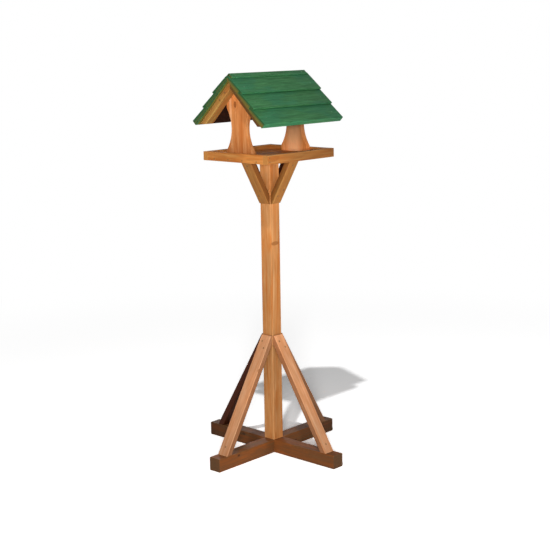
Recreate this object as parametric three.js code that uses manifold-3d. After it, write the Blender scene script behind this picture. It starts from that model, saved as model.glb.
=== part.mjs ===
// Bird table: a crossed base, a braced post, an edged tray and a lapped pitched roof.
// Millimetres, +Z up. The origin is on the ground under the post.
// The ridge runs along Y: front is the gable at -Y, right is the slope at +X.
import * as THREE from 'three';
import { mergeVertices } from 'three/addons/utils/BufferGeometryUtils.js';
import Module from 'manifold-3d';

// Clearances and cutting
const seatGap = 0.3;
const cutOverrun = 8;
const holeClearance = 0.4;

// Timber stock
const squareStock = 50;
const battenShy = 1.5;
const battenWidth = squareStock - 2 * battenShy;
const battenThick = 23;
const timberArris = 2.5;
const boardArris = 1.2;
const arrisSteps = 3;

// Crossed base and post
const baseSpan = 635;
const beamHeight = 50;
const postLength = 1062;
const beamTop = beamHeight;
const postFoot = beamTop + seatGap;
const postTop = postFoot + postLength;
const postHalf = squareStock / 2;

// Coach screw up through the cross into the post
const screwRadius = 5;
const screwBite = 70;
const screwTip = 12;
const washerRadius = 14;
const washerThick = 2.5;
const screwHeadAcross = 17;
const screwHeadHeight = 6;
const recessDepth = 14;
const roundSides = 24;
const hexSides = 6;

// Legs and tray braces
const legSetback = 40;
const legRise = 405;
const braceReach = 127;
const braceDrop = 163;
const strutTip = 7;

// Tray
const trayWidth = 318;
const trayLength = 356;
const edgingThick = 22;
const edgingHeight = 32;
const floorThick = 15;
const floorBoards = 4;
const drainGap = 4;
const trayBase = postTop + seatGap;
const floorTop = trayBase + floorThick;
const trayHalfLength = trayLength / 2;
const trayInnerHalf = trayHalfLength - edgingThick;

// Gable supports
const supportThick = 20;
const supportHeight = 275;
const supportFootHalf = 63;
const supportWaistHalf = 36;
const supportHeadHalf = 58;
const supportFootHeight = 22;
const supportShoulder = 174;
const waistSteps = 12;
const supportFoot = floorTop + seatGap;
const supportOuter = trayInnerHalf - seatGap;

// Roof: feather-edged boards laid flat and lapped from the eave up, under a pair of ridge strips
const roofPitch = THREE.MathUtils.degToRad(45);
const slopeLength = 230;
const rafterShort = 6;
const rafterWidth = 38;
const gableOverhang = 16;
const boardsPerSlope = 3;
const roofBoardLap = 16;
const roofBoardButt = 21.5;
const roofBoardThin = 12.5;
const ridgeRun = 5.5;
const roofExposure = (slopeLength + ridgeRun - roofBoardLap) / boardsPerSlope;
const roofBoardWidth = roofExposure + roofBoardLap;
const capWidth = 19;
const capThick = 4;
const capInset = 10;
const roofApex = supportFoot + supportHeight;
const roofHalfLength = trayInnerHalf + rafterWidth + gableOverhang;
const featherAngle = Math.atan((roofBoardButt - roofBoardThin) / roofBoardWidth);
const rebateWidth = roofBoardLap + seatGap;
const rebateDepth = roofBoardThin + roofBoardLap * Math.tan(featherAngle) + seatGap;

// Finishes
const paleWood = { color: 0xcc8f63, roughness: 0.75, metalness: 0 };
const postWood = { color: 0xc08050, roughness: 0.75, metalness: 0 };
const baseWood = { color: 0x6f4524, roughness: 0.85, metalness: 0 };
const trayWood = { color: 0xb6732f, roughness: 0.75, metalness: 0 };
const greenPaint = { color: 0x417349, roughness: 0.65, metalness: 0 };
const zincSteel = { color: 0xa8a9a5, roughness: 0.4, metalness: 1 };

const wasm = await Module();
wasm.setup();

// Turn a closed three.js geometry into a solid that can be cut, and back again
function solidOf(geometry) {
  const bare = geometry.clone();
  bare.deleteAttribute('normal');
  bare.deleteAttribute('uv');
  const merged = mergeVertices(bare);
  const vertProperties = new Float32Array(merged.attributes.position.array);
  const triVerts = new Uint32Array(merged.index.array);
  return new wasm.Manifold(new wasm.Mesh({ numProp: 3, vertProperties, triVerts }));
}

function geometryOf(solid) {
  const mesh = solid.getMesh();
  const geometry = new THREE.BufferGeometry();
  geometry.setAttribute('position', new THREE.BufferAttribute(mesh.vertProperties, mesh.numProp));
  geometry.setIndex(new THREE.BufferAttribute(mesh.triVerts, 1));
  geometry.computeVertexNormals();
  return geometry;
}

// A box between two corners, used to saw and notch the timbers
function block(low, high) {
  const box = new THREE.BoxGeometry(high[0] - low[0], high[1] - low[1], high[2] - low[2]);
  box.translate((low[0] + high[0]) / 2, (low[1] + high[1]) / 2, (low[2] + high[2]) / 2);
  return solidOf(box);
}

// A sawn timber with eased long edges: thickness along X, width along Y, length up Z from zero
function timber(thickness, width, length, arris) {
  const x = thickness / 2;
  const y = width / 2;
  const section = new THREE.Shape();
  section.moveTo(x, arris - y);
  section.absarc(x - arris, y - arris, arris, 0, Math.PI / 2);
  section.absarc(arris - x, y - arris, arris, Math.PI / 2, Math.PI);
  section.absarc(arris - x, arris - y, arris, Math.PI, 1.5 * Math.PI);
  section.absarc(x - arris, arris - y, arris, 1.5 * Math.PI, 2 * Math.PI);
  return new THREE.ExtrudeGeometry(section, { depth: length, bevelEnabled: false, curveSegments: arrisSteps });
}

// Every hole for the coach screw comes from this one drill
function drill(radius, low, high) {
  const bit = new THREE.CylinderGeometry(radius, radius, high - low, roundSides);
  bit.rotateX(Math.PI / 2);
  bit.translate(0, 0, (low + high) / 2);
  return solidOf(bit);
}

// One beam of the cross, lying along X and centred, before its half-lap is cut
function beamBlank() {
  const beam = timber(beamHeight, squareStock, baseSpan, timberArris);
  beam.rotateY(Math.PI / 2);
  beam.translate(-baseSpan / 2, 0, beamHeight / 2);
  return solidOf(beam);
}

// The half-lap: each beam gives up half its height over the width of the other
function halfLap(low, high) {
  const reach = squareStock / 2 + seatGap;
  const across = squareStock / 2 + cutOverrun;
  return block([-reach, -across, low], [reach, across, high]);
}

const lapLevel = beamHeight / 2;

function lowerBeam() {
  const notched = beamBlank().subtract(halfLap(lapLevel - seatGap / 2, beamHeight + cutOverrun));
  const bored = notched.subtract(drill(screwRadius + holeClearance, -cutOverrun, beamHeight));
  return geometryOf(bored.subtract(drill(washerRadius + holeClearance, -cutOverrun, recessDepth)));
}

function upperBeam() {
  const notched = beamBlank().subtract(halfLap(-cutOverrun, lapLevel + seatGap / 2));
  return geometryOf(notched.subtract(drill(screwRadius + holeClearance, 0, beamHeight + cutOverrun)));
}

function post() {
  const blank = solidOf(timber(squareStock, squareStock, postLength, timberArris));
  return geometryOf(blank.subtract(drill(screwRadius + holeClearance, -cutOverrun, screwBite + holeClearance)));
}

// Flanged coach screw, tip up, with the top of its washer at zero
function coachScrew() {
  const shankLength = beamTop + seatGap - recessDepth + screwBite;
  const profile = [
    new THREE.Vector2(0, -washerThick),
    new THREE.Vector2(washerRadius, -washerThick),
    new THREE.Vector2(washerRadius, 0),
    new THREE.Vector2(screwRadius, 0),
    new THREE.Vector2(screwRadius, shankLength - screwTip),
    new THREE.Vector2(0, shankLength),
  ];
  const turned = new THREE.LatheGeometry(profile, roundSides);
  turned.rotateX(Math.PI / 2);
  const headRadius = screwHeadAcross / 2 / Math.cos(Math.PI / hexSides);
  const head = new THREE.CylinderGeometry(headRadius, headRadius, screwHeadHeight, hexSides);
  head.rotateX(Math.PI / 2);
  head.translate(0, 0, -washerThick / 2 - screwHeadHeight / 2);
  return geometryOf(solidOf(turned).add(solidOf(head)));
}

// A leaning batten on the post's +X side. Its outer face runs from the low point to the high one,
// and it is sawn level at both ends and plumb where it meets the post.
function strut(lowReach, lowLevel, highReach, highLevel) {
  const run = highReach - lowReach;
  const rise = highLevel - lowLevel;
  const lean = Math.atan2(run, rise);
  const length = Math.hypot(run, rise) + 2 * (battenThick + cutOverrun);
  const blank = timber(battenThick, battenWidth, length, timberArris);
  blank.translate(-battenThick / 2, 0, -length / 2);
  blank.rotateY(lean);
  blank.translate((lowReach + highReach) / 2, 0, (lowLevel + highLevel) / 2);
  const far = Math.max(lowReach, highReach) + length;
  const side = battenWidth / 2 + cutOverrun;
  const plumbCut = block([-far, -side, lowLevel - length], [postHalf + seatGap, side, highLevel + length]);
  const footCut = block([-far, -side, lowLevel - length], [far, side, lowLevel]);
  const headCut = block([-far, -side, highLevel], [far, side, highLevel + length]);
  return geometryOf(solidOf(blank).subtract(plumbCut).subtract(footCut).subtract(headCut));
}

function leg() {
  const footReach = baseSpan / 2 - legSetback;
  return strut(footReach, beamTop + seatGap, postHalf + seatGap + strutTip, beamTop + legRise);
}

function brace() {
  const underTray = trayBase - seatGap;
  return strut(postHalf + seatGap + strutTip, trayBase - braceDrop, braceReach, underTray);
}

// A board lying along Y, centred, with its underside at zero
function plank(width, height, length) {
  const board = timber(width, height, length, boardArris);
  board.rotateX(-Math.PI / 2);
  board.translate(0, -length / 2, height / 2);
  return board;
}

// Waisted gable board, drawn in its own plane, foot at zero, outer face at zero
function gableSupport() {
  const apex = supportHeight;
  const eave = apex - supportHeadHalf * Math.tan(roofPitch);
  const waistPull = 2 * supportWaistHalf - (supportFootHalf + supportHeadHalf) / 2;
  const waistLevel = (supportFootHeight + supportShoulder) / 2;
  const outline = new THREE.Shape();
  outline.moveTo(-supportFootHalf, 0);
  outline.lineTo(supportFootHalf, 0);
  outline.lineTo(supportFootHalf, supportFootHeight);
  outline.quadraticCurveTo(waistPull, waistLevel, supportHeadHalf, supportShoulder);
  outline.lineTo(supportHeadHalf, eave);
  outline.lineTo(0, apex);
  outline.lineTo(-supportHeadHalf, eave);
  outline.lineTo(-supportHeadHalf, supportShoulder);
  outline.quadraticCurveTo(-waistPull, waistLevel, -supportFootHalf, supportFootHeight);
  const board = new THREE.ExtrudeGeometry(outline, {
    depth: supportThick - 2 * boardArris,
    bevelThickness: boardArris,
    bevelSize: boardArris,
    bevelOffset: -boardArris,
    bevelSegments: 1,
    curveSegments: waistSteps,
  });
  board.rotateX(Math.PI / 2);
  board.translate(0, supportThick - boardArris, 0);
  return geometryOf(solidOf(board));
}

// Lay a piece on the right-hand slope, with the apex of the slope at zero. Its own X runs down
// the slope and its own Z stands off it.
function layOnSlope(geometry, down, lift) {
  geometry.rotateY(roofPitch);
  const x = down * Math.cos(roofPitch) + lift * Math.sin(roofPitch);
  const z = lift * Math.cos(roofPitch) - down * Math.sin(roofPitch);
  geometry.translate(x, 0, z);
  return solidOf(geometry);
}

// Plumb mitre that keeps each slope on its own side of the ridge
function ridgeMitre(solid, halfLength) {
  const far = slopeLength + cutOverrun;
  const side = halfLength + cutOverrun;
  return solid.subtract(block([-far, -side, -far], [seatGap / 2, side, far]));
}

// Flat batten under the boards, sawn level at its foot
function rafter() {
  const batten = timber(battenThick, rafterWidth, slopeLength + cutOverrun, timberArris);
  batten.rotateY(Math.PI / 2);
  batten.translate(-cutOverrun, 0, -battenThick / 2);
  const mitred = ridgeMitre(layOnSlope(batten, 0, 0), rafterWidth / 2);
  const footLevel = -(slopeLength - rafterShort) * Math.sin(roofPitch);
  const side = rafterWidth / 2 + cutOverrun;
  const far = slopeLength + cutOverrun;
  return geometryOf(mitred.subtract(block([0, -side, footLevel - far], [far, side, footLevel])));
}

// Feather-edged board: thin edge at zero, butt at the lower end, corners of the butt eased.
// The boards above the lowest are rebated under the butt, to lie flat over the board below.
function featherBoard(course) {
  const rebated = course > 1;
  const underside = rebated ? rebateDepth : 0;
  const thinFall = boardArris * Math.tan(featherAngle);
  const section = new THREE.Shape();
  section.moveTo(0, 0);
  if (rebated) {
    section.lineTo(roofBoardWidth - rebateWidth, 0);
    section.lineTo(roofBoardWidth - rebateWidth, rebateDepth);
  }
  section.lineTo(roofBoardWidth - boardArris, underside);
  section.lineTo(roofBoardWidth, underside + boardArris);
  section.lineTo(roofBoardWidth, roofBoardButt - boardArris);
  section.lineTo(roofBoardWidth - boardArris, roofBoardButt - thinFall);
  section.lineTo(0, roofBoardThin);
  const board = new THREE.ExtrudeGeometry(section, { depth: 2 * roofHalfLength, bevelEnabled: false });
  board.rotateX(Math.PI / 2);
  board.translate(0, roofHalfLength, 0);
  return board;
}

// The top boards run past the apex of the rafters and are mitred there
function roofBoard(course) {
  const topEdge = slopeLength - (course - 1) * roofExposure - roofBoardWidth;
  return geometryOf(ridgeMitre(layOnSlope(featherBoard(course), topEdge, seatGap), roofHalfLength));
}

// Narrow strip on the faces of the top boards, mitred to its partner along the ridge
function ridgeCap() {
  const faceLift = seatGap + roofBoardThin;
  const faceX = faceLift * Math.sin(roofPitch) - ridgeRun * Math.cos(roofPitch);
  const faceZ = faceLift * Math.cos(roofPitch) + ridgeRun * Math.sin(roofPitch);
  const fall = roofPitch - featherAngle;
  const capFoot = faceZ + faceX * Math.tan(fall) + seatGap / Math.cos(fall);
  const halfLength = roofHalfLength - capInset;
  const strip = plank(capWidth + cutOverrun, capThick, 2 * halfLength);
  strip.translate((capWidth - cutOverrun) / 2, 0, 0);
  strip.rotateY(fall);
  strip.translate(0, 0, capFoot);
  return geometryOf(ridgeMitre(solidOf(strip), halfLength));
}

const birdTable = new THREE.Group();

function addPiece(name, geometry, finish, parent = birdTable) {
  const mesh = new THREE.Mesh(geometry, new THREE.MeshStandardMaterial(finish));
  mesh.name = name;
  parent.add(mesh);
  return mesh;
}

// A group turned about the post, so that one drawing serves all four sides
function turnedGroup(quarterTurns) {
  const group = new THREE.Group();
  group.rotation.z = quarterTurns * Math.PI / 2;
  birdTable.add(group);
  return group;
}

function addBase() {
  addPiece('base_beam_x', lowerBeam(), baseWood);
  addPiece('base_beam_y', upperBeam(), baseWood).rotation.z = Math.PI / 2;
  addPiece('post_screw', coachScrew(), zincSteel).position.z = recessDepth - seatGap;
  addPiece('post', post(), postWood).position.z = postFoot;
}

function addStruts() {
  ['right', 'back', 'left', 'front'].forEach((side, quarterTurns) => {
    const group = turnedGroup(quarterTurns);
    addPiece(`leg_${side}`, leg(), paleWood, group);
    addPiece(`brace_${side}`, brace(), postWood, group);
  });
}

function trayPlank(width, height, length) {
  return geometryOf(solidOf(plank(width, height, length)));
}

function addTray() {
  const innerWidth = trayWidth - 2 * edgingThick;
  const boardWidth = (innerWidth - 2 * seatGap - (floorBoards - 1) * drainGap) / floorBoards;
  const boardLength = 2 * (trayInnerHalf - seatGap);
  for (let n = 0; n < floorBoards; n += 1) {
    const board = addPiece(`tray_board_${n + 1}`, trayPlank(boardWidth, floorThick, boardLength), trayWood);
    board.position.x = (n - (floorBoards - 1) / 2) * (boardWidth + drainGap);
    board.position.z = trayBase;
  }
  const sides = { left: -1, right: 1 };
  for (const [side, sign] of Object.entries(sides)) {
    const strip = addPiece(`tray_side_${side}`, trayPlank(edgingThick, edgingHeight, trayLength), trayWood);
    strip.position.x = sign * (trayWidth - edgingThick) / 2;
    strip.position.z = trayBase;
  }
  const ends = { front: -1, back: 1 };
  for (const [end, sign] of Object.entries(ends)) {
    const endLength = innerWidth - 2 * seatGap;
    const strip = addPiece(`tray_end_${end}`, trayPlank(edgingThick, edgingHeight, endLength), trayWood);
    strip.rotation.z = Math.PI / 2;
    strip.position.y = sign * (trayLength - edgingThick) / 2;
    strip.position.z = trayBase;
  }
}

function addSupports() {
  const ends = { front: 0, back: 2 };
  for (const [end, quarterTurns] of Object.entries(ends)) {
    const support = addPiece(`support_${end}`, gableSupport(), paleWood, turnedGroup(quarterTurns));
    support.position.y = -supportOuter;
    support.position.z = supportFoot;
  }
}

function addRoof() {
  const slopes = { right: 0, left: 2 };
  const ends = { front: -1, back: 1 };
  for (const [slope, quarterTurns] of Object.entries(slopes)) {
    const group = turnedGroup(quarterTurns);
    const turnedSign = quarterTurns === 0 ? 1 : -1;
    for (const [end, sign] of Object.entries(ends)) {
      const batten = addPiece(`rafter_${end}_${slope}`, rafter(), trayWood, group);
      batten.position.y = turnedSign * sign * (trayInnerHalf + rafterWidth / 2);
      batten.position.z = roofApex;
    }
    for (let course = 1; course <= boardsPerSlope; course += 1) {
      const board = addPiece(`roof_${slope}_${course}`, roofBoard(course), greenPaint, group);
      board.position.z = roofApex;
    }
    addPiece(`ridge_cap_${slope}`, ridgeCap(), greenPaint, group).position.z = roofApex;
  }
}

addBase();
addStruts();
addTray();
addSupports();
addRoof();

export default birdTable;
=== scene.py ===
"""Bird table: stained pine and a green painted roof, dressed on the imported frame. Metres, +Z up."""

import math
import random
from collections import defaultdict

import bmesh
import bpy
import numpy as np
from mathutils import Matrix, Vector
from mathutils.bvhtree import BVHTree


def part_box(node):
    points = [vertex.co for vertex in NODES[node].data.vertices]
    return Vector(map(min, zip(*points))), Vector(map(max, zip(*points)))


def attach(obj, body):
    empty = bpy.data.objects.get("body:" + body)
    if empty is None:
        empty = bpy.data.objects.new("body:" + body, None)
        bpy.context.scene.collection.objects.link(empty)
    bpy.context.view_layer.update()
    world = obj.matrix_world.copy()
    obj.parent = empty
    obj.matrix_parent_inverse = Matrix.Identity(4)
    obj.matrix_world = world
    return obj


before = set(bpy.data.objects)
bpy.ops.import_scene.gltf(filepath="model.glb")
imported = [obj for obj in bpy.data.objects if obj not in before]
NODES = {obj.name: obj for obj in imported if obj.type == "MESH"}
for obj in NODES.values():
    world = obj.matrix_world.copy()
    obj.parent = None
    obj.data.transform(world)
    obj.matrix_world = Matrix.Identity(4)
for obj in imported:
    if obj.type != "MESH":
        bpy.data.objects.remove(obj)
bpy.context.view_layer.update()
MM = 0.001

OUTWARD = {"front": Vector((0, -1, 0)), "right": Vector((1, 0, 0)),
           "back": Vector((0, 1, 0)), "left": Vector((-1, 0, 0))}
UP = Vector((0, 0, 1))

# The photograph's view, in metres, degrees and pixels, with the camera's sensor in millimetres
PHOTO_SIDE = 550
VIEW_ROUND = 42.955
VIEW_DOWN = 11.016
VIEW_ROLL = 0.979
VIEW_DISTANCE = 4.4834
VIEW_HEIGHT = 1.5525
VIEW_FOCAL_PIXELS = 1228.68
VIEW_CENTRE = (271.07, 274.765)
VIEW_REACH = 200.0
SENSOR = 36.0

# Plain studio light: soft boxes low in front, on the right and far behind, a small lamp high up, and the
# room. Each box has its degrees round from the front and up, its share and its distance. A share of 1
# makes white paper that faces the box white. A box's side is a share of its distance.
BOXES = {
    "front_box": (42.0, 9.0, 0.72, 4.6),
    "side_box": (100.0, 6.0, 0.2, 4.6),
    "back_box": (235.0, 1.0, 0.5, 14.0),
}
BOX_SIDE_SHARE = 0.13
HIGH_ROUND = 33.0
HIGH_UP = 54.0
HIGH_SPREAD = 1.6
HIGH_STRENGTH = 1.2
HIGH_DISTANCE = 4.6
ROOM_STRENGTH = 0.08
LAMP_AIM = 0.8

# The paper floor looks brighter than it lights, and runs out into the white of the backdrop
FLOOR_REACH = 60.0
FLOOR_DROP = 0.1 * MM
FLOOR_LIGHTS = 0.9
FLOOR_SEEN = 1.8
FLOOR_FADE_FROM = 1.7
FLOOR_FADE_TO = 3.2

# How squarely two directions agree, as a cosine: facing the same way at all, as the end of a leaning batten
# does, and straight on. Below the fourth they lie across each other, and a direction that falls by more
# than the fifth points down. Directions and areas are alike when they agree to so many digits.
FACING = 0.3
END_FACING = 0.6
SQUARE_ON = 0.9
ACROSS = 0.2
DOWNWARD = 0.01
WAY_DIGITS = 2
AREA_DIGITS = 7

# Each timber is cut from a log of its own. The heart lies beyond one face, aside by up to a share of half
# the width, and leans along the timber.
HEART_BEYOND = (14 * MM, 30 * MM)
HEART_ASIDE_SHARE = 0.45
LEAN = (0.012, 0.03)
LEAN_ASIDE = 0.012
LOGS_APART = 1.7
LOG_SHIFT = 0.5
TONE_SPREAD = (0.94, 1.06)

# Growth rings of quick-grown pine are 3 to 6 mm apart. They wander, less along the grain than across it,
# and swell round the knots, from one number of knot radii out to another.
RING_WIDTH = 4.2 * MM
RING_WANDER = 5.0 * MM
WANDERS_PER_METRE = 22.0
WANDER_ALONG_SHARE = 0.12
RING_SWELL = 6.0 * MM
SWELL_FULL = 0.8
SWELL_ENDS = 3.6

# Shares of a year's ring: where summer growth sets in, where it is darkest, and where it stops
SUMMER_FROM_SHARE = 0.3
SUMMER_DARKEST_SHARE = 0.9
SUMMER_STOPS_SHARE = 0.93

# What is drawn out along the grain: its width, and that width as a share of its length
DRAWN_OUT = {
    "fibre": (0.9 * MM, 0.025),
    "streak": (9.0 * MM, 0.04),
    "blotch": (26.0 * MM, 0.22),
    "patch": (70.0 * MM, 0.45),
}
# Saw lines of the roof boards, which the brush followed
BRUSH_WIDTH = 2.2 * MM
BRUSH_WIDTH_SHARE = 0.03
# Noise seldom leaves the range between these two
LOW_NOISE = 0.3
HIGH_NOISE = 0.7

# Knots lie at random on both edges of a timber, out to these shares of half its thickness and half its length
KNOT_SPACING = 300 * MM
KNOT_RADIUS = (2.5 * MM, 5.0 * MM)
KNOT_THICKNESS_SHARE = 0.9
KNOT_LENGTH_SHARE = 0.8

# What the photograph shows of the grain: round knots, spike knots that lie across a face, and long dark and
# pale seams. Each has its place in the world and its radius, in millimetres. The two timbers that it shows
# best have no other knots.
SEEN = {
    "round_knot": {"support_front": [((-15, -155.7, 1315), 6.5)]},
    "spike_knot": {"post": [((25, -3, 801), 19)]},
    "dark_seam": {"support_front": [((16, -155.7, 1205), 5)],
                  "post": [((25, 8, 620), 6), ((-25, -25, 600), 6)]},
    "pale_seam_and_painted_light": {"support_front": [((-38, -155.7, 1290), 6)],
                  # On the back support, a wide pale seam that is painted light on its lower part
                  "support_back": [((0, 144, 1150), 38)],
                  "post": [((25, -14, 620), 4)]},
}
SEEN_BEST = ("support_front", "post")
# The width of each kind of mark as a share of its length along the grain
MARK_WIDTH_SHARES = {"round_knot": 0.62, "spike_knot": 2.8, "dark_seam": 0.045, "pale_seam_and_painted_light": 0.045}
# So many radii away, no mark shows
FAR_OFF = 9.0

# Timbers that are brighter or darker along their way: how bright they are at the start, middle and end,
# and the way that these follow. Those marked are painted light and shade.
UNEVEN = {
    "base_beam_x": ((0.26, 0.85, 0.76), OUTWARD["right"]),
    "base_beam_y": ((0.3, 0.9, 0.85), OUTWARD["front"]),
    # Painted light: brighter at the top, where the tray shades the post
    "post": ((0.84, 0.73, 1.2), UP),
    # Painted shade: darker all along, where the front leg shades it
    "leg_left": ((0.75, 0.75, 0.75), UP),
    # Painted shade: darkest at its foot
    "leg_back": ((0.5, 0.8, 1.2), UP),
    "leg_front": ((0.8, 0.95, 0.95), UP),
    "leg_right": ((0.82, 0.92, 1.15), UP),
    # Painted shade: dark all along, in the shade of the roof's overhang
    "rafter_front_right": ((0.3, 0.3, 0.3), UP),
    "tray_side_right": ((0.47, 0.58, 0.86), OUTWARD["front"]),
    "tray_end_front": ((0.95, 1.05, 1.4), OUTWARD["right"]),
    # Painted light: the floor boards are brightened where the roof shades them
    "tray_board_1": ((1.5, 1.5, 1.5), UP),
    "tray_board_2": ((1.4, 1.4, 1.4), UP),
    "tray_board_3": ((1.7, 1.6, 1.7), UP),
    "tray_board_4": ((1.8, 1.7, 1.8), UP),
    # Painted light: brighter towards the head, which the overhang shades
    "support_front": ((0.72, 0.98, 1.6), UP),
    # Painted light low down, and the painted shadow of the eave over the top
    "support_back": ((1.65, 0.12, 0.12), UP),
}
UNEVEN_ROOF = ((0.72, 0.9, 0.98), OUTWARD["front"])
EVEN = ((1.0, 1.0, 1.0), UP)

# How far the paint has worn off the ends of the roof boards: at the front of the right slope, and elsewhere
WORN_MOST = 1.0
WORN_LITTLE = 0.3

# Sawn arrises are eased, and the seams that the frame leaves between faces are closed first
EASED = 0.7 * MM
EASED_FROM = 42.0
SEAM = 0.01 * MM

# Heads of screws and nails. A nail's profile has shares of its radius and of its rise.
SCREW_HEAD_RADIUS = 3.6 * MM
SCREW_HEAD_RISE = 0.4 * MM
SCREW_SLOT_HALF = 0.6 * MM
SCREW_SLOT_REACH = 2.0 * MM
SCREW_SLOT_DEPTH = 0.9 * MM
SCREW_BED_SHARE = 0.7
SCREW_CONE_SHARE = 0.55
NAIL_HEAD_RADIUS = 2.4 * MM
NAIL_HEAD_RISE = 0.6 * MM
NAIL_SHANK_SHARE = 0.4
NAIL_PROFILE_SHARES = ((0.45, 0.95), (0.8, 0.72), (0.97, 0.35), (1.0, 0.0), (0.94, -0.25), (0.4, -0.4))
SINK = 1.6 * MM
HEAD_SIDES = 24
CRISP_FROM = 38.0

# Screws of a strut, in millimetres: the height above its lower end, or where that is less than nothing
# below its upper end, and how far aside
STRUT_SCREWS = {
    "leg": ((-21.0, -9.0), (-43.0, 9.0), (27.7, 0.0)),
    "brace": ((28.4, -9.0), (50.4, 9.0), (-18.3, 0.0)),
}
# Nails of the tray, as shares of a strip's height, and screws of the rafters, down from the ridge and in
# from the upper edge
TRAY_NAIL_SHARES = (0.28, 0.74)
RAFTER_SCREWS_DOWN = (36 * MM, 62 * MM)
RAFTER_SCREWS_IN = 9 * MM
# Nails of a roof board, as a share of its width, and a height above everything
ROOF_NAIL_SHARE = 0.68
OVERHEAD = 2.0


def colour(code):
    """An sRGB hex code as the linear colour that a shader takes."""
    parts = [int(code[i:i + 2], 16) / 255 for i in (0, 2, 4)]
    linear = [c / 12.92 if c <= 0.04045 else ((c + 0.055) / 1.055) ** 2.4 for c in parts]
    return (*linear, 1.0)


def add(tree, kind, settings, inputs):
    """One node with its settings. An input is a plain value, or a socket that feeds it."""
    node = tree.nodes.new(kind)
    for name, value in settings.items():
        setattr(node, name, value)
    for name, value in inputs.items():
        if isinstance(value, bpy.types.NodeSocket):
            tree.links.new(value, node.inputs[name])
        else:
            node.inputs[name].default_value = value
    return node


# Where each timber lies in its log

# Marks in the grain, by kind and material: their places in the logs and their radii
MARKS = defaultdict(list)


def sawn_directions(node):
    """Thickness, width and length directions of a timber, from the areas of its faces."""
    areas = defaultdict(float)
    for face in NODES[node].data.polygons:
        lead = max(face.normal, key=abs)
        way = tuple(round(c * math.copysign(1, lead), WAY_DIGITS) for c in face.normal)
        areas[way] += face.area
    ranked = sorted(areas, key=lambda way: (-round(areas[way], AREA_DIGITS), way))
    ranked = [Vector(way).normalized() for way in ranked]
    thick = ranked[0]
    if thick.z < -DOWNWARD:
        thick = -thick
    # The edges of the waisted supports curve, so no face of theirs gives the width
    if node.startswith("support"):
        wide = OUTWARD["right"]
    else:
        wide = next(way for way in ranked if abs(way.dot(thick)) < ACROSS)
    wide = (wide - wide.dot(thick) * thick).normalized()
    return thick, wide, thick.cross(wide)


def painted_shade(node, normal):
    """How much painted shade a face carries: none on outer faces, half on the sides of legs and braces, and
    full inside them and under the roof boards. The photograph shows the near side of the left leg as dark
    as an inside."""
    if node == "leg_left" and normal.y < -FACING:
        return 1.0
    if node.startswith(("leg", "brace")):
        out = normal.dot(OUTWARD[node.partition("_")[2]])
        if abs(out) <= FACING:
            return 0.5
        return 0.0 if out > 0 else 1.0
    if node.startswith("roof"):
        inward = -normal.x if "right" in node else normal.x
        return 1.0 if inward > FACING and normal.z < -FACING else 0.0
    return 0.0


def write_field(mesh, name, domain, values):
    """A number or a vector for each point or face, for a material to read."""
    values = np.array(values, np.float32)
    if values.ndim == 1:
        mesh.attributes.new(name, "FLOAT", domain).data.foreach_set("value", values)
    else:
        mesh.attributes.new(name, "FLOAT_VECTOR", domain).data.foreach_set("vector", values.ravel())


def write_stain_and_shade(node, world, draw):
    """How bright a timber is along its way, from its stain and its painted light and shade, and whether it
    had a second coat.
    """
    mesh = NODES[node].data
    usual = UNEVEN_ROOF if node.startswith(("roof", "ridge")) else EVEN
    levels, way = UNEVEN.get(node, usual)
    along_way = world @ np.array(way)
    write_field(mesh, "stain_and_shade_way", "POINT", (along_way - along_way.min()) / np.ptp(along_way))
    tone = np.array(levels) * draw.uniform(*TONE_SPREAD)
    faces = len(mesh.polygons)
    write_field(mesh, "stain_and_shade_levels", "FACE", np.tile(tone, (faces, 1)))
    write_field(mesh, "second_coat", "FACE", [node.startswith("brace")] * faces)


def write_faces(node, wide, long):
    """What each face of a timber is: a sawn end, a side or inside with painted shade, or a roof board's butt
    or worn end.
    """
    mesh = NODES[node].data
    normals = [face.normal.copy() for face in mesh.polygons]
    worn = WORN_MOST if "right" in node else WORN_LITTLE
    write_field(mesh, "end_grain", "FACE", [abs(np.dot(n, long)) > END_FACING for n in normals])
    write_field(mesh, "painted_shade", "FACE", [painted_shade(node, n) for n in normals])
    write_field(mesh, "butt", "FACE", [abs(np.dot(n, wide)) > SQUARE_ON and n.z < 0 for n in normals])
    write_field(mesh, "worn_end", "FACE", [worn if n.y < -SQUARE_ON else WORN_LITTLE for n in normals])


def note_marks(node, draw, axes, middle, half, in_log):
    """Notes the marks in a timber's grain: those that the photograph shows, and knots at random."""
    slot = NODES[node].data.materials[0].name
    for kind, timbers in SEEN.items():
        for at, radius in timbers.get(node, []):
            spot = np.array(at) * MM @ axes.T - middle
            MARKS[kind, slot].append((in_log(spot), radius * MM))
    if node in SEEN_BEST:
        return
    for _ in range(round(2 * half[2] / KNOT_SPACING)):
        shares = (draw.uniform(-KNOT_THICKNESS_SHARE, KNOT_THICKNESS_SHARE), draw.choice((-1, 1)),
                  draw.uniform(-KNOT_LENGTH_SHARE, KNOT_LENGTH_SHARE))
        MARKS["round_knot", slot].append((in_log(shares * half), draw.uniform(*KNOT_RADIUS)))


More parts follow.
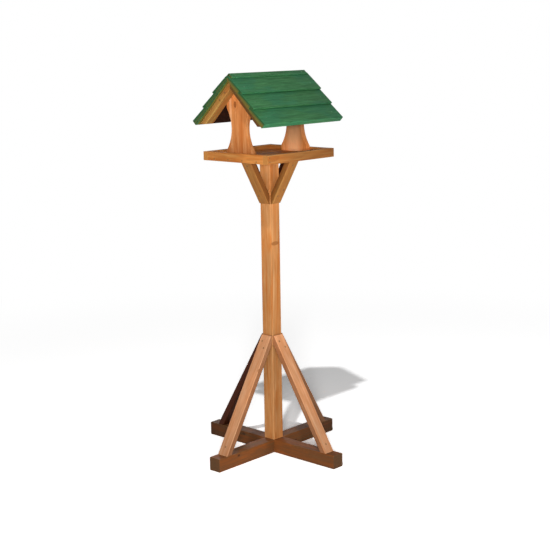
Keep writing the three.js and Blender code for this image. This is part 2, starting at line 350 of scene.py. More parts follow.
def saw_from_log(node, place):
    """Cuts a timber from its own log, and writes on it what its grain, its stain and its painted light
    and shade follow.
    """
    mesh = NODES[node].data
    draw = random.Random("log of " + node)
    axes = np.array([list(v) for v in sawn_directions(node)])
    world = np.array([v.co for v in mesh.vertices])
    points = world @ axes.T
    middle = (points.min(0) + points.max(0)) / 2
    half = (points.max(0) - points.min(0)) / 2
    heart_off = half[0] + draw.uniform(*HEART_BEYOND)
    heart_aside = draw.uniform(-HEART_ASIDE_SHARE, HEART_ASIDE_SHARE) * half[1]
    lean = draw.uniform(*LEAN) * draw.choice((-1, 1))
    lean_aside = draw.uniform(-LEAN_ASIDE, LEAN_ASIDE)
    along = LOGS_APART * place + draw.uniform(0, LOG_SHIFT)

    def in_log(p):
        """Where places in the timber lie in its log. The third axis is the heart of the log."""
        return np.stack([p[..., 0] + heart_off - lean * p[..., 2],
                         p[..., 1] - heart_aside - lean_aside * p[..., 2],
                         p[..., 2] + along], axis=-1)

    local = points - middle
    write_field(mesh, "in_log", "POINT", in_log(local))
    write_field(mesh, "in_piece", "POINT", local)
    write_field(mesh, "piece_half", "POINT", np.tile(half, (len(local), 1)))
    write_field(mesh, "lowness", "POINT", (world[:, 2].max() - world[:, 2]) / np.ptp(world[:, 2]))
    write_stain_and_shade(node, world, draw)
    write_faces(node, axes[1], axes[2])
    note_marks(node, draw, axes, middle, half, in_log)


for order, piece in enumerate(sorted(n for n in NODES if n != "post_screw")):
    saw_from_log(piece, order)


# Materials

# Sockets of the node that mixes colours, and settings that several nodes share
MIX_FACTOR, MIX_A, MIX_B, MIX_RESULT = 0, 6, 7, 2
RGB = {"data_type": "RGBA"}
TINTED = {"data_type": "RGBA", "blend_type": "MULTIPLY"}
SMOOTH = {"interpolation_type": "SMOOTHSTEP"}

# Open-pored wood and chalky outdoor paint reflect little at a glance
SHEEN = 0.12

# A thin second coat on the braces, and painted shade on the sides and insides of legs and braces
SECOND_COAT = "C8BA84"
PAINTED_SHADE_SIDE = "C8BEB4"
PAINTED_SHADE_INSIDE = "6E4A20"

# Rings show weakest at this share of their full strength, and hard summer growth is planed smoother
FAINT_RING_SHARE = 0.35
SUMMER_SMOOTHER = 0.12

# How much of the colour of a sawn end covers a stained timber, and a painted one
STAINED_END_SHARE = 0.75
PAINTED_END_SHARE = 0.9

# Where a painted end starts to wear and is worn most, as shares of half the thickness from its middle
WEAR_STARTS_SHARE = 0.9
WEAR_FULL_SHARE = -0.3

# Where the paint beneath a roof board thins, and where it stops, as shares of half the length
THINS_SHARES = (0.99, 0.95)
STOPS_SHARES = (0.93, 0.9)

# Thick brush strokes shine a little more than the paint between them
STROKES = (0.35, 0.65)
PAINT_ROUGH = 0.66
STROKE_ROUGH = 0.54

# Patches of bloom on the coating of steel, which roughen it
BLOOM_WIDTH = 3 * MM
BLOOM_ROUGHENS = 0.25


def nearest_mark(tree, where, marks, width_share):
    """Distance to the nearest mark, in its radii."""
    squeezed = add(tree, "ShaderNodeVectorMath", {"operation": "MULTIPLY"},
                   {0: where, 1: (1, 1, width_share)}).outputs[0]
    nearest = FAR_OFF
    for spot, radius in marks:
        centre = (spot[0], spot[1], spot[2] * width_share)
        gap = add(tree, "ShaderNodeVectorMath", {"operation": "DISTANCE"},
                  {0: squeezed, 1: centre}).outputs["Value"]
        radii = add(tree, "ShaderNodeMath", {"operation": "DIVIDE"}, {0: gap, 1: radius}).outputs[0]
        nearest = add(tree, "ShaderNodeMath", {"operation": "MINIMUM"},
                      {0: nearest, 1: radii}).outputs[0]
    return nearest


def distance_from_heart(tree, where):
    """Distance from the heart of the log, shifted a little so that the rings wander."""
    slow = add(tree, "ShaderNodeVectorMath", {"operation": "MULTIPLY"},
               {0: where, 1: (1, 1, WANDER_ALONG_SHARE)}).outputs[0]
    drift = add(tree, "ShaderNodeTexNoise", {},
                {"Vector": slow, "Scale": WANDERS_PER_METRE, "Detail": 2.0}).outputs["Color"]
    centred = add(tree, "ShaderNodeVectorMath", {"operation": "SUBTRACT"},
                  {0: drift, 1: (0.5, 0.5, 0.5)}).outputs[0]
    shift = add(tree, "ShaderNodeVectorMath", {"operation": "MULTIPLY"},
                {0: centred, 1: (2 * RING_WANDER, 2 * RING_WANDER, 0)}).outputs[0]
    bent = add(tree, "ShaderNodeVectorMath", {"operation": "ADD"}, {0: where, 1: shift}).outputs[0]
    flat = add(tree, "ShaderNodeVectorMath", {"operation": "MULTIPLY"},
               {0: bent, 1: (1, 1, 0)}).outputs[0]
    return add(tree, "ShaderNodeVectorMath", {"operation": "LENGTH"}, {0: flat}).outputs["Value"]


def growth_rings(tree, where, knot):
    """Growth rings that swell round the knots: 0 in pale spring growth, 1 in dark summer growth."""
    radius = distance_from_heart(tree, where)
    swell = add(tree, "ShaderNodeMapRange", {"interpolation_type": "SMOOTHERSTEP"},
                {"Value": knot, "From Min": SWELL_FULL, "From Max": SWELL_ENDS,
                 "To Min": RING_SWELL, "To Max": 0.0}).outputs[0]
    swollen = add(tree, "ShaderNodeMath", {"operation": "ADD"}, {0: radius, 1: swell}).outputs[0]
    years = add(tree, "ShaderNodeMath", {"operation": "DIVIDE"}, {0: swollen, 1: RING_WIDTH}).outputs[0]
    season = add(tree, "ShaderNodeMath", {"operation": "FRACT"}, {0: years}).outputs[0]
    rise = add(tree, "ShaderNodeMapRange", SMOOTH,
               {"Value": season, "From Min": SUMMER_FROM_SHARE,
                "From Max": SUMMER_DARKEST_SHARE}).outputs[0]
    fall = add(tree, "ShaderNodeMapRange", SMOOTH,
               {"Value": season, "From Min": 1.0, "From Max": SUMMER_STOPS_SHARE}).outputs[0]
    return add(tree, "ShaderNodeMath", {"operation": "MULTIPLY"}, {0: rise, 1: fall}).outputs[0]


def edge_distance(tree, inside, half):
    """Distance to the nearest edge: the middle one of the three distances to the faces."""
    plain = add(tree, "ShaderNodeVectorMath", {"operation": "ABSOLUTE"}, {0: inside}).outputs[0]
    depth = add(tree, "ShaderNodeVectorMath", {"operation": "SUBTRACT"}, {0: half, 1: plain}).outputs[0]
    side = add(tree, "ShaderNodeSeparateXYZ", {}, {0: depth}).outputs
    near = add(tree, "ShaderNodeMath", {"operation": "MINIMUM"}, {0: side[0], 1: side[1]}).outputs[0]
    far = add(tree, "ShaderNodeMath", {"operation": "MAXIMUM"}, {0: side[0], 1: side[1]}).outputs[0]
    least = add(tree, "ShaderNodeMath", {"operation": "MAXIMUM"}, {0: near, 1: side[2]}).outputs[0]
    return add(tree, "ShaderNodeMath", {"operation": "MINIMUM"}, {0: far, 1: least}).outputs[0]


def stain_and_shade_tone(tree, along):
    """Brightness of the stain and of painted light and shade, from level to level along the timber's way."""
    levels = add(tree, "ShaderNodeAttribute", {"attribute_name": "stain_and_shade_levels"}, {}).outputs["Vector"]
    start, middle, end = add(tree, "ShaderNodeSeparateXYZ", {}, {0: levels}).outputs
    tone = add(tree, "ShaderNodeMapRange", {},
               {"Value": along, "From Max": 0.5, "To Min": start, "To Max": middle}).outputs[0]
    return add(tree, "ShaderNodeMapRange", {},
               {"Value": along, "From Min": 0.5, "To Min": tone, "To Max": end}).outputs[0]


def grain_fields(tree, slot):
    """What all the timbers of a material share: what was written on them, the rings, the streaks, the
    distances to the marks, in radii, and to the edges, in metres, and the tone of the stain with its painted
    light and shade."""
    fields = {}
    for name in ("in_log", "in_piece", "piece_half"):
        fields[name] = add(tree, "ShaderNodeAttribute", {"attribute_name": name}, {}).outputs["Vector"]
    for name in ("end_grain", "painted_shade", "stain_and_shade_way", "second_coat", "lowness", "butt", "worn_end"):
        fields[name] = add(tree, "ShaderNodeAttribute", {"attribute_name": name}, {}).outputs["Fac"]
    where = fields["in_log"]
    for kind, width_share in MARK_WIDTH_SHARES.items():
        fields[kind] = nearest_mark(tree, where, MARKS[kind, slot], width_share)
    fields["knot"] = add(tree, "ShaderNodeMath", {"operation": "MINIMUM"},
                         {0: fields["round_knot"], 1: fields["spike_knot"]}).outputs[0]
    fields["ring"] = growth_rings(tree, where, fields["knot"])
    for name, (width, width_share) in DRAWN_OUT.items():
        drawn = add(tree, "ShaderNodeVectorMath", {"operation": "MULTIPLY"},
                    {0: where, 1: (1, 1, width_share)}).outputs[0]
        fields[name] = add(tree, "ShaderNodeTexNoise", {},
                           {"Vector": drawn, "Scale": 1 / width, "Detail": 3.0,
                            "Roughness": 0.55}).outputs["Fac"]
    fields["edge"] = edge_distance(tree, fields["in_piece"], fields["piece_half"])
    fields["tone"] = stain_and_shade_tone(tree, fields["stain_and_shade_way"])
    return fields


def laid_over(tree, under, fields, look, layers):
    """Colours laid over another in turn. Each layer has the field that it follows, the values of it at
    which it starts and is full, the share that it covers when full, and its colour's name in the look."""
    for field, start, full, cover, tint in layers:
        share = add(tree, "ShaderNodeMapRange", SMOOTH,
                    {"Value": fields[field], "From Min": start, "From Max": full,
                     "To Max": cover}).outputs[0]
        under = add(tree, "ShaderNodeMix", RGB,
                    {MIX_FACTOR: share, MIX_A: under, MIX_B: colour(look[tint])}).outputs[MIX_RESULT]
    return under


def toned(tree, base, fields, levels):
    """A colour made brighter or darker by the timber's tone, with its painted light and shade, and by
    levels. Each level has the field that it follows, two values of it, and the brightness at each."""
    tone = fields["tone"]
    for field, low, high, at_low, at_high in levels:
        level = add(tree, "ShaderNodeMapRange", {},
                    {"Value": fields[field], "From Min": low, "From Max": high,
                     "To Min": at_low, "To Max": at_high}).outputs[0]
        tone = add(tree, "ShaderNodeMath", {"operation": "MULTIPLY"}, {0: tone, 1: level}).outputs[0]
    return add(tree, "ShaderNodeVectorMath", {"operation": "SCALE"}, {0: base, "Scale": tone}).outputs[0]


def rubbed_arrises(tree, under, fields, look, tearing, reach, layer):
    """Arrises rubbed to another colour, with the line of the wear torn by a field of noise."""
    fields["torn"] = add(tree, "ShaderNodeMath", {"operation": "MULTIPLY_ADD"},
                         {0: fields[tearing], 1: reach, 2: fields["edge"]}).outputs[0]
    return laid_over(tree, under, fields, look, (("torn", *layer),))


def sawn_end(tree, under, fields, end_share, share, low, high):
    """The colour of a sawn end, mixed from two by a share, over that of the other faces."""
    sawn = add(tree, "ShaderNodeMix", RGB,
               {MIX_FACTOR: share, MIX_A: colour(low), MIX_B: colour(high)}).outputs[MIX_RESULT]
    soak = add(tree, "ShaderNodeMath", {"operation": "MULTIPLY"},
               {0: fields["end_grain"], 1: end_share}).outputs[0]
    return add(tree, "ShaderNodeMix", RGB,
               {MIX_FACTOR: soak, MIX_A: under, MIX_B: sawn}).outputs[MIX_RESULT]


def raised_grain(tree, fields, lines, ring_share, strength, depth):
    """A surface raised by finer lines, and by a share of the rings."""
    rings = add(tree, "ShaderNodeMath", {"operation": "MULTIPLY"},
                {0: fields["ring"], 1: ring_share}).outputs[0]
    relief = add(tree, "ShaderNodeMath", {"operation": "ADD"}, {0: rings, 1: fields[lines]}).outputs[0]
    return add(tree, "ShaderNodeBump", {},
               {"Strength": strength, "Distance": depth, "Height": relief}).outputs[0]


def wooden_surface(tree, tint, rough, bump):
    """The finished surface of stained or painted wood."""
    surface = add(tree, "ShaderNodeBsdfPrincipled", {},
                  {"Base Color": tint, "Roughness": rough, "Specular IOR Level": SHEEN,
                   "Normal": bump}).outputs[0]
    add(tree, "ShaderNodeOutputMaterial", {}, {"Surface": surface})


def emptied_tree(name):
    """The node tree of a material, new or from the frame, ready to be filled."""
    material = bpy.data.materials.get(name) or bpy.data.materials.new(name)
    material.use_nodes = True
    material.node_tree.nodes.clear()
    return material.node_tree


def stained_pine(slot, look):
    """Pine under a thin garden stain: the eye sees bands of growth ring, warm streaks where the stain went
    in, darker knots and end grain, sides and insides darkened as painted shade, and arrises rubbed paler."""
    tree = emptied_tree(slot)
    fields = grain_fields(tree, slot)
    streaks = look["streaks"]

    # Rings are stronger in some places than in others
    strength = add(tree, "ShaderNodeMapRange", {},
                   {"Value": fields["patch"], "From Min": LOW_NOISE, "From Max": HIGH_NOISE,
                    "To Min": FAINT_RING_SHARE * look["ring"], "To Max": look["ring"]}).outputs[0]
    ring = add(tree, "ShaderNodeMath", {"operation": "MULTIPLY"},
               {0: fields["ring"], 1: strength}).outputs[0]
    wood = add(tree, "ShaderNodeMix", RGB,
               {MIX_FACTOR: ring, MIX_A: colour(look["spring"]),
                MIX_B: colour(look["summer"])}).outputs[MIX_RESULT]

    # Long streaks, warm and pale, shorter blotches, and long seams; the wide pale seam low on the back
    # support is painted light
    wood = laid_over(tree, wood, fields, look, (
        ("streak", 0.46, 0.68, streaks, "warm"),
        ("streak", 0.46, 0.3, streaks, "pale"),
        ("blotch", 0.5, 0.72, streaks, "warm"),
        ("dark_seam", 1.3, 0.4, 0.85, "warm"),
        ("pale_seam_and_painted_light", 1.3, 0.4, 0.85, "worn")))

    # Uneven uptake of stain over a hand's width and along the fibres, and each timber's tone from timber to
    # timber, with its painted light and shade
    wood = toned(tree, wood, fields, (
        ("patch", LOW_NOISE, HIGH_NOISE, 0.84, 1.15),
        ("fibre", LOW_NOISE, HIGH_NOISE, 0.9, 1.08)))
    wood = rubbed_arrises(tree, wood, fields, look, "streak", 5.0 * MM,
                          (4.6 * MM, 2.2 * MM, look["rubbed"], "worn"))

    # A second coat on the braces, and painted shade on sides and insides: each deepens the wood from one
    # value of its field to another
    for field, start, full, tint in (("second_coat", 0.0, 1.0, SECOND_COAT),
                                     ("painted_shade", 0.0, 0.5, PAINTED_SHADE_SIDE),
                                     ("painted_shade", 0.5, 1.0, PAINTED_SHADE_INSIDE)):
        share = add(tree, "ShaderNodeMapRange", {},
                    {"Value": fields[field], "From Min": start, "From Max": full}).outputs[0]
        wood = add(tree, "ShaderNodeMix", TINTED,
                   {MIX_FACTOR: share, MIX_A: wood, MIX_B: colour(tint)}).outputs[MIX_RESULT]

    # Knots have a dark rim round a brown heart, and end grain drinks more stain
    wood = laid_over(tree, wood, fields, look, (
        ("knot", 1.25, 0.85, 0.7, "knot"),
        ("knot", 0.85, 0.35, 0.5, "summer")))
    wood = sawn_end(tree, wood, fields, STAINED_END_SHARE, ring, look["end"], look["knot"])

    rough = add(tree, "ShaderNodeMapRange", {},
                {"Value": ring, "To Min": look["rough"],
                 "To Max": look["rough"] - SUMMER_SMOOTHER}).outputs[0]
    bump = raised_grain(tree, fields, "fibre", ring_share=0.55, strength=0.6, depth=0.25 * MM)
    wooden_surface(tree, wood, rough, bump)


def bare_underside_in_painted_shade(tree, paint, fields, look, length):
    """The underside of the roof boards: the brush only reached out to the gables, and the rest is bare
    wood, painted nearly black as shade.
    """
    wood = add(tree, "ShaderNodeMix", RGB,
               {MIX_FACTOR: fields["ring"], MIX_A: colour(look["beneath"]),
                MIX_B: colour(look["beneath_ring"])}).outputs[MIX_RESULT]
    endward = add(tree, "ShaderNodeMath", {"operation": "ABSOLUTE"}, {0: length}).outputs[0]
    beneath = paint
    for (start, full), tint in ((THINS_SHARES, colour(look["thinned"])), (STOPS_SHARES, wood)):
        share = add(tree, "ShaderNodeMapRange", SMOOTH,
                    {"Value": endward, "From Min": start, "From Max": full}).outputs[0]
        beneath = add(tree, "ShaderNodeMix", RGB,
                      {MIX_FACTOR: share, MIX_A: beneath, MIX_B: tint}).outputs[MIX_RESULT]
    return add(tree, "ShaderNodeMix", RGB,
               {MIX_FACTOR: fields["painted_shade"], MIX_A: paint, MIX_B: beneath}).outputs[MIX_RESULT]


def painted_boards(slot, look):
    """Feather-edged boards, sawn rough and brushed with a green garden paint: the eye sees brush and saw
    lines along each board, painted shade under each butt and painted light on it, worn olive ends, and
    bare brown wood beneath, painted nearly black as shade."""
    tree = emptied_tree(slot)
    fields = grain_fields(tree, slot)
    brush_from, brush_to = STROKES

    long_way = add(tree, "ShaderNodeVectorMath", {"operation": "MULTIPLY"},
                   {0: fields["in_log"], 1: (1, 1, BRUSH_WIDTH_SHARE)}).outputs[0]
    fields["brush"] = add(tree, "ShaderNodeTexNoise", {},
                          {"Vector": long_way, "Scale": 1 / BRUSH_WIDTH, "Detail": 3.0,
                           "Roughness": 0.65}).outputs["Fac"]
    paint = laid_over(tree, colour(look["deep"]), fields, look, (
        ("brush", brush_from, brush_to, 1.0, "light"),
        ("blotch", 0.5, 0.72, 0.45, "faded"),
        ("patch", 0.48, 0.62, 0.6, "bluer")))

    # Painted shade on the upper part of each board, under the butt of the next, and painted light on the
    # butts themselves
    fields["shade_under_laps"] = add(tree, "ShaderNodeMapRange", SMOOTH,
                           {"Value": fields["lowness"], "From Min": 0.2, "From Max": 0.65}).outputs[0]
    paint = toned(tree, paint, fields, (
        ("streak", LOW_NOISE, HIGH_NOISE, 0.82, 1.16),
        ("ring", 0.0, 1.0, 1.03, 0.92),
        ("shade_under_laps", 0.0, 1.0, 0.93, 1.06),
        ("butt", 0.0, 1.0, 1.0, 1.35)))
    paint = rubbed_arrises(tree, paint, fields, look, "brush", 4.0 * MM, (2.8 * MM, 1.5 * MM, 0.4, "rubbed"))
    paint = laid_over(tree, paint, fields, look, (("knot", 1.2, 0.7, 0.3, "knot"),))

    # Sawn ends are green towards the face, and worn to olive wood towards the rafter
    shares = add(tree, "ShaderNodeVectorMath", {"operation": "DIVIDE"},
                 {0: fields["in_piece"], 1: fields["piece_half"]}).outputs[0]
    depth, _, length = add(tree, "ShaderNodeSeparateXYZ", {}, {0: shares}).outputs
    bare = add(tree, "ShaderNodeMapRange", SMOOTH,
               {"Value": depth, "From Min": WEAR_STARTS_SHARE, "From Max": WEAR_FULL_SHARE,
                "To Max": fields["worn_end"]}).outputs[0]
    paint = sawn_end(tree, paint, fields, PAINTED_END_SHARE, bare, look["end"], look["end_wood"])
    paint = bare_underside_in_painted_shade(tree, paint, fields, look, length)

    # Bare wood doesn't shine at all
    gloss = add(tree, "ShaderNodeMapRange", SMOOTH,
                {"Value": fields["brush"], "From Min": brush_from, "From Max": brush_to,
                 "To Min": PAINT_ROUGH, "To Max": STROKE_ROUGH}).outputs[0]
    rough = add(tree, "ShaderNodeMath", {"operation": "MAXIMUM"},
                {0: gloss, 1: fields["painted_shade"]}).outputs[0]
    bump = raised_grain(tree, fields, "brush", ring_share=0.6, strength=0.8, depth=0.5 * MM)
    wooden_surface(tree, paint, rough, bump)


def coated_steel(name, low, high, metal, rough):
    """Steel fixings under a thin coat, dulled outdoors: a soft sheen, clouded by patches of bloom."""
    tree = emptied_tree(name)
    place = add(tree, "ShaderNodeTexCoord", {}, {}).outputs["Object"]
    cloud = add(tree, "ShaderNodeTexNoise", {},
                {"Vector": place, "Scale": 1 / BLOOM_WIDTH, "Detail": 4.0}).outputs["Fac"]
    tint = add(tree, "ShaderNodeMix", RGB,
               {MIX_FACTOR: cloud, MIX_A: colour(low), MIX_B: colour(high)}).outputs[MIX_RESULT]
    gloss = add(tree, "ShaderNodeMapRange", {},
                {"Value": cloud, "To Min": rough, "To Max": rough + BLOOM_ROUGHENS}).outputs[0]
    surface = add(tree, "ShaderNodeBsdfPrincipled", {},
                  {"Base Color": tint, "Roughness": gloss, "Metallic": metal}).outputs[0]
    add(tree, "ShaderNodeOutputMaterial", {}, {"Surface": surface})


STAINS = {
    # Sawn rough and dipped in dark oak stain: chocolate brown, with rust in the streaks
    "base_timber": {
        "spring": "744826", "summer": "482C16", "warm": "874A1E", "pale": "6A4C2C", "knot": "2A170B",
        "end": "503A24", "worn": "8A6238", "ring": 0.6, "streaks": 0.85, "rubbed": 0.3, "rough": 0.72},
    # Planed and wiped with golden stain: honey, with orange where it went in
    "post_timber": {
        "spring": "CC8E56", "summer": "A86E38", "warm": "C0702E", "pale": "D6A06A", "knot": "8A4E22",
        "end": "8A5426", "worn": "DCA672", "ring": 0.45, "streaks": 0.7, "rubbed": 0.35, "rough": 0.66},
    # Planed and left nearly clear: pinkish new pine
    "strut_timber": {
        "spring": "CE956C", "summer": "B0784E", "warm": "C48254", "pale": "D8AA82", "knot": "8E5A34",
        "end": "9A6A42", "worn": "DDB28C", "ring": 0.45, "streaks": 0.7, "rubbed": 0.35, "rough": 0.68},
    # Planed and stained a full amber: deeper than the post, with pale sawn ends
    "tray_timber": {
        "spring": "BC7A3C", "summer": "925A26", "warm": "B06226", "pale": "CA9050", "knot": "6A3A16",
        "end": "C08444", "worn": "CE9A5C", "ring": 0.5, "streaks": 0.7, "rubbed": 0.35, "rough": 0.66},
    # Planed and stained a reddish gold: the warmest of the timbers
    "house_timber": {
        "spring": "CC8248", "summer": "A8602E", "warm": "B8662E", "pale": "DC9C66", "knot": "7C3C12",
        "end": "8A5428", "worn": "DEA474", "ring": 0.45, "streaks": 0.7, "rubbed": 0.3, "rough": 0.66},
    # Battens gone olive under the painted boards, duller than the rest
    "rafter_timber": {
        "spring": "A87C40", "summer": "865C2A", "warm": "A8622C", "pale": "B48E4C", "knot": "5A3A18",
        "end": "7A5424", "worn": "B8904E", "ring": 0.45, "streaks": 0.6, "rubbed": 0.3, "rough": 0.7},
}

# Bottle green garden paint, fading to a greyer green, over brown wood that is painted nearly black
# beneath as shade
GREEN = {
    "deep": "2A5C36", "light": "3D7648", "faded": "447A4A", "bluer": "2C6A4A", "rubbed": "4A7A48",
    "knot": "284A2C", "end": "1E4A28", "end_wood": "6E5C22", "thinned": "74702E", "beneath": "321404",
    "beneath_ring": "1E0A02"}

for stained_slot, stain in STAINS.items():
    stained_pine(stained_slot, stain)
painted_boards("roof_paint", GREEN)

# The coach screw is grey with zinc, wood screws and tray nails are bronzed brown, and the brush went over
# the roof's nails too
coated_steel("zinc_steel", "8E9092", "C2C3BF", 1.0, 0.35)
coated_steel("bronzed_screw_heads", "5E4426", "7E5E36", 0.6, 0.45)
coated_steel("painted_nail_heads", "3A6844", "4A7C54", 0.0, 0.5)


# Timbers

def ease(piece):
    """Closes the seams of a timber, eases its sawn arrises and smooths its shading."""
    timber = NODES[piece]
    normals = timber.data.attributes.get("custom_normal")
    if normals:
        timber.data.attributes.remove(normals)
    timber.data.polygons.foreach_set("use_smooth", [True] * len(timber.data.polygons))
    weld = timber.modifiers.new("close_seams", "WELD")
    weld.merge_threshold = SEAM
    if piece != "post_screw":
        bevel = timber.modifiers.new("ease_ends", "BEVEL")
        bevel.width = EASED
        bevel.segments = 2
        bevel.limit_method = "ANGLE"
        bevel.angle_limit = math.radians(EASED_FROM)
    even = timber.modifiers.new("even_faces", "WEIGHTED_NORMAL")
    even.keep_sharp = False


for piece in sorted(NODES):
    ease(piece)


# Fixings

def ring_of(bm, radius, level, phase):
    """A ring of points about the Z axis, turned by a share of a step."""
    turns = [2 * math.pi * (step + phase) / HEAD_SIDES for step in range(HEAD_SIDES)]
    return [bm.verts.new((radius * math.cos(t), radius * math.sin(t), level)) for t in turns]


def join_rings(bm, upper, lower):
    """A band of faces between two rings of as many points."""
    for i in range(len(upper)):
        j = (i + 1) % len(upper)
        bm.faces.new((upper[i], upper[j], lower[j], lower[i]))


def finished_mesh(bm, name):
    """The drawn shape as a mesh with outward faces."""
    bmesh.ops.recalc_face_normals(bm, faces=bm.faces)
    mesh = bpy.data.meshes.new(name)
    bm.to_mesh(mesh)
    bm.free()
    return mesh


def screw_head_mesh():
    """Countersunk wood screw: a low dome with a cross recess, and its cone below the surface."""
    bm = bmesh.new()
    half, reach = SCREW_SLOT_HALF, SCREW_SLOT_REACH
    cross = []
    for turns in range(4):
        for x, y in ((reach, -half), (reach, half), (half, half)):
            for _ in range(turns):
                x, y = -y, x
            lift = SCREW_HEAD_RISE * (1 - (math.hypot(x, y) / SCREW_HEAD_RADIUS) ** 2)
            cross.append(bm.verts.new((x, y, lift)))
    rim = ring_of(bm, SCREW_HEAD_RADIUS, 0.0, 0.5)
    outlines = [bm.edges.new((loop[i - 1], loop[i])) for loop in (cross, rim) for i in range(len(loop))]
    bmesh.ops.triangle_fill(bm, use_beauty=True, use_dissolve=False, edges=outlines)
    bed = [bm.verts.new((v.co.x * SCREW_BED_SHARE, v.co.y * SCREW_BED_SHARE, v.co.z - SCREW_SLOT_DEPTH))
           for v in cross]
    join_rings(bm, cross, bed)
    bm.faces.new(bed)
    cone = ring_of(bm, SCREW_CONE_SHARE * SCREW_HEAD_RADIUS, -SINK, 0.5)
    join_rings(bm, rim, cone)
    bm.faces.new(cone)
    return finished_mesh(bm, "screw_head")


def nail_head_mesh():
    """Round nail head, domed by the hammer, with a short shank below the surface."""
    bm = bmesh.new()
    rings = [ring_of(bm, out * NAIL_HEAD_RADIUS, up * NAIL_HEAD_RISE, 0.0)
             for out, up in NAIL_PROFILE_SHARES]
    rings.append(ring_of(bm, NAIL_SHANK_SHARE * NAIL_HEAD_RADIUS, -SINK, 0.0))
    for upper, lower in zip(rings, rings[1:]):
        join_rings(bm, upper, lower)
    bm.faces.new(rings[0])
    bm.faces.new(rings[-1])
    return finished_mesh(bm, "nail_head")


def struck(node, start, toward):
    """Where a line first meets a timber, and the way out of the face there."""
    mesh = NODES[node].data
    solid = BVHTree.FromPolygons([v.co for v in mesh.vertices], [f.vertices for f in mesh.polygons])
    place, out, _, _ = solid.ray_cast(start, toward)
    return place, out


def heads(name, pattern, places, material):
    """One piece of many heads, each at its place and square to the face, turned as it was driven."""
    draw = random.Random(name)
    bm = bmesh.new()
    for at, out in places:
        turn = Matrix.Rotation(draw.uniform(0, math.pi), 4, "Z")
        stand = out.to_track_quat("Z", "Y").to_matrix().to_4x4()
        start = len(bm.verts)
        bm.from_mesh(pattern)
        bm.verts.ensure_lookup_table()
        bmesh.ops.transform(bm, matrix=Matrix.Translation(at) @ stand @ turn, verts=bm.verts[start:])
    mesh = bpy.data.meshes.new(name)
    bm.to_mesh(mesh)
    bm.free()
    mesh.polygons.foreach_set("use_smooth", [True] * len(mesh.polygons))
    mesh.materials.append(bpy.data.materials[material])
    piece = bpy.data.objects.new(name, mesh)
    bpy.context.scene.collection.objects.link(piece)
    crisp = piece.modifiers.new("crisp_edges", "EDGE_SPLIT")
    crisp.split_angle = math.radians(CRISP_FROM)
    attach(piece, "root")


def strut_places():
    """Struts are screwed to the post at one end, and to the beam or the tray at the other."""
    places = []
    for side, out in OUTWARD.items():
        aside = UP.cross(out)
        for kind, screws in STRUT_SCREWS.items():
            low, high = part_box(f"{kind}_{side}")
            for height, shift in screws:
                level = (low.z if height > 0 else high.z) + height * MM
                start = out + aside * shift * MM + UP * level
                places.append(struck(f"{kind}_{side}", start, -out))
    return places


def tray_places():
    """Side strips are nailed to the end strips, which are as thick, and these to the floor boards."""
    places = []
    strip_low, strip_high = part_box("tray_side_right")
    nail_line = strip_high.y - (strip_high.x - strip_low.x) / 2
    for side, end in (("left", "front"), ("right", "back")):
        for endward in (-1, 1):
            for share in TRAY_NAIL_SHARES:
                level = strip_low.z + share * (strip_high.z - strip_low.z)
                start = OUTWARD[side] + OUTWARD["back"] * endward * nail_line + UP * level
                places.append(struck(f"tray_side_{side}", start, -OUTWARD[side]))
        for n in range(1, 5):
            low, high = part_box(f"tray_board_{n}")
            start = OUTWARD[end] + OUTWARD["right"] * (low.x + high.x) / 2 + UP * (low.z + high.z) / 2
            places.append(struck(f"tray_end_{end}", start, -OUTWARD[end]))
    return places


def rafter_places():
    """Each rafter has two screws near its mitre, in from its upper edge across the pitch of 45 degrees."""
    places = []
    rafter_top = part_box("rafter_front_right")[1].z
    for end in ("front", "back"):
        for side in ("left", "right"):
            for down in RAFTER_SCREWS_DOWN:
                level = rafter_top - down - RAFTER_SCREWS_IN
                start = OUTWARD[end] + OUTWARD[side] * (down - RAFTER_SCREWS_IN) + UP * level
                places.append(struck(f"rafter_{end}_{side}", start, -OUTWARD[end]))
    return places


def roof_places():
    """Roof boards are nailed to the rafters just above each lap, and the ridge strips along their middle."""
    places = []
    rafter_low, rafter_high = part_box("rafter_back_right")
    nail_line = (rafter_low.y + rafter_high.y) / 2
    for side in ("left", "right"):
        for n in range(1, 4):
            low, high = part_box(f"roof_{side}_{n}")
            down = ROOF_NAIL_SHARE * (high.x - low.x)
            x = low.x + down if side == "right" else high.x - down
            for y in (-nail_line, nail_line):
                places.append(struck(f"roof_{side}_{n}", Vector((x, y, OVERHEAD)), -UP))
        low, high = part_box(f"ridge_cap_{side}")
        x = (low.x + high.x) / 2
        for y in (-nail_line, 0, nail_line):
            places.append(struck(f"ridge_cap_{side}", Vector((x, y, OVERHEAD)), -UP))
    return places


screw_head = screw_head_mesh()
nail_head = nail_head_mesh()
heads("strut_screws", screw_head, strut_places(), "bronzed_screw_heads")
heads("tray_nails", nail_head, tray_places(), "bronzed_screw_heads")
heads("rafter_screws", screw_head, rafter_places(), "bronzed_screw_heads")
heads("roof_nails", nail_head, roof_places(), "painted_nail_heads")


# Floor, room and lamps

def seen_white(tree):
    """1 for rays that show the backdrop itself: straight to the camera, off gloss, or through glass."""
    path = add(tree, "ShaderNodeLightPath", {}, {}).outputs
    first = add(tree, "ShaderNodeMath", {"operation": "MAXIMUM"},
                {0: path["Is Camera Ray"], 1: path["Is Glossy Ray"]}).outputs[0]
    return add(tree, "ShaderNodeMath", {"operation": "MAXIMUM"},
               {0: first, 1: path["Is Transmission Ray"]}).outputs[0]


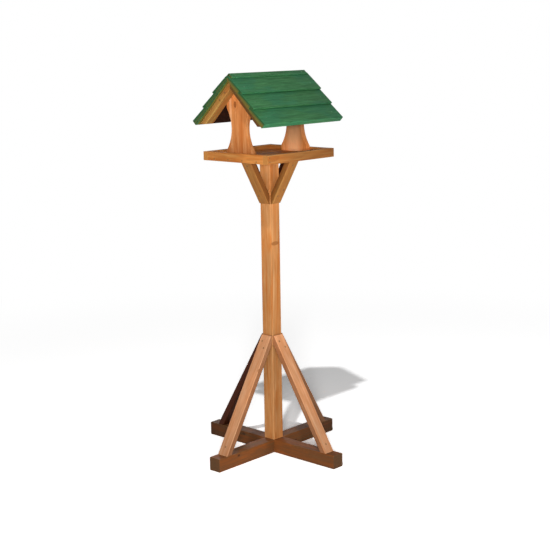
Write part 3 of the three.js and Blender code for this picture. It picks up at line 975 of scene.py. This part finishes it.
def white_paper(name):
    """Matt white paper: it keeps a soft grey shadow near the table, and is plain white further out."""
    tree = emptied_tree(name)
    seen = seen_white(tree)
    brightness = add(tree, "ShaderNodeMapRange", {},
                     {"Value": seen, "To Min": FLOOR_LIGHTS, "To Max": FLOOR_SEEN}).outputs[0]
    paper = add(tree, "ShaderNodeBsdfDiffuse", {}, {"Color": brightness}).outputs[0]
    spot = add(tree, "ShaderNodeNewGeometry", {}, {}).outputs["Position"]
    out_from_post = add(tree, "ShaderNodeVectorMath", {"operation": "LENGTH"}, {0: spot}).outputs["Value"]
    run_out = add(tree, "ShaderNodeMapRange", SMOOTH,
                  {"Value": out_from_post, "From Min": FLOOR_FADE_FROM,
                   "From Max": FLOOR_FADE_TO}).outputs[0]
    fade = add(tree, "ShaderNodeMath", {"operation": "MULTIPLY"}, {0: run_out, 1: seen}).outputs[0]
    backdrop = add(tree, "ShaderNodeEmission", {}, {"Color": (1, 1, 1, 1), "Strength": 1.0}).outputs[0]
    sheet = add(tree, "ShaderNodeMixShader", {}, {0: fade, 1: paper, 2: backdrop}).outputs[0]
    add(tree, "ShaderNodeOutputMaterial", {}, {"Surface": sheet})


def studio_floor():
    """One wide sheet of paper, just under the beams."""
    bm = bmesh.new()
    corners = ((-1, -1), (1, -1), (1, 1), (-1, 1))
    bm.faces.new([bm.verts.new((x * FLOOR_REACH, y * FLOOR_REACH, -FLOOR_DROP)) for x, y in corners])
    mesh = bpy.data.meshes.new("studio_floor")
    bm.to_mesh(mesh)
    bm.free()
    white_paper("white_paper_floor")
    mesh.materials.append(bpy.data.materials["white_paper_floor"])
    floor = bpy.data.objects.new("studio_floor", mesh)
    bpy.context.scene.collection.objects.link(floor)


def studio_room():
    """A dim room that looks white to the camera."""
    room = bpy.data.worlds.new("studio_room")
    bpy.context.scene.world = room
    room.use_nodes = True
    tree = room.node_tree
    tree.nodes.clear()
    dim = add(tree, "ShaderNodeBackground", {},
              {"Color": (1, 1, 1, 1), "Strength": ROOM_STRENGTH}).outputs[0]
    white = add(tree, "ShaderNodeBackground", {}, {"Color": (1, 1, 1, 1), "Strength": 1.0}).outputs[0]
    shown = add(tree, "ShaderNodeMixShader", {}, {0: seen_white(tree), 1: dim, 2: white}).outputs[0]
    add(tree, "ShaderNodeOutputWorld", {}, {"Surface": shown})


def lamp(name, kind, around, up, distance, settings):
    """A lamp that faces the middle of the table, degrees round from the front and up."""
    turned, raised = math.radians(around), math.radians(up)
    level = math.cos(raised)
    toward = Vector((math.sin(turned) * level, -math.cos(turned) * level, math.sin(raised)))
    light = bpy.data.lights.new(name, kind)
    for key, value in settings.items():
        setattr(light, key, value)
    piece = bpy.data.objects.new(name, light)
    piece.visible_camera = False
    piece.location = UP * LAMP_AIM + toward * distance
    piece.rotation_euler = toward.to_track_quat("Z", "Y").to_euler()
    bpy.context.scene.collection.objects.link(piece)


studio_floor()
studio_room()
for box, (box_round, box_up, box_share, away) in BOXES.items():
    lamp(box, "AREA", box_round, box_up, away,
         {"energy": box_share * (math.pi * away) ** 2, "size": BOX_SIDE_SHARE * away, "shape": "SQUARE"})
lamp("high_lamp", "SUN", HIGH_ROUND, HIGH_UP, HIGH_DISTANCE,
     {"energy": HIGH_STRENGTH, "angle": math.radians(HIGH_SPREAD)})


# Camera

def photo_camera():
    """The photograph's view, which leans a little to one side."""
    around, down, roll = (math.radians(v) for v in (VIEW_ROUND, VIEW_DOWN, VIEW_ROLL))
    level_right = Vector((math.cos(around), math.sin(around), 0))
    level_ahead = Vector((-math.sin(around), math.cos(around), 0))
    ahead = math.cos(down) * level_ahead - math.sin(down) * UP
    upright = math.cos(down) * UP + math.sin(down) * level_ahead
    right_axis = math.cos(roll) * level_right - math.sin(roll) * upright
    up_axis = math.sin(roll) * level_right + math.cos(roll) * upright
    camera = bpy.data.objects.new("photo_camera", bpy.data.cameras.new("photo_camera"))
    camera.matrix_world = Matrix((
        (right_axis.x, up_axis.x, -ahead.x, VIEW_DISTANCE * math.sin(around)),
        (right_axis.y, up_axis.y, -ahead.y, -VIEW_DISTANCE * math.cos(around)),
        (right_axis.z, up_axis.z, -ahead.z, VIEW_HEIGHT),
        (0, 0, 0, 1)))
    camera.data.sensor_width = SENSOR
    camera.data.lens = VIEW_FOCAL_PIXELS * SENSOR / PHOTO_SIDE
    camera.data.shift_x = (PHOTO_SIDE / 2 - VIEW_CENTRE[0]) / PHOTO_SIDE
    camera.data.shift_y = (VIEW_CENTRE[1] - PHOTO_SIDE / 2) / PHOTO_SIDE
    camera.data.clip_end = VIEW_REACH
    bpy.context.scene.collection.objects.link(camera)
    bpy.context.scene.camera = camera


photo_camera()
bpy.context.scene.view_settings.view_transform = "Standard"

bpy.context.view_layer.update()
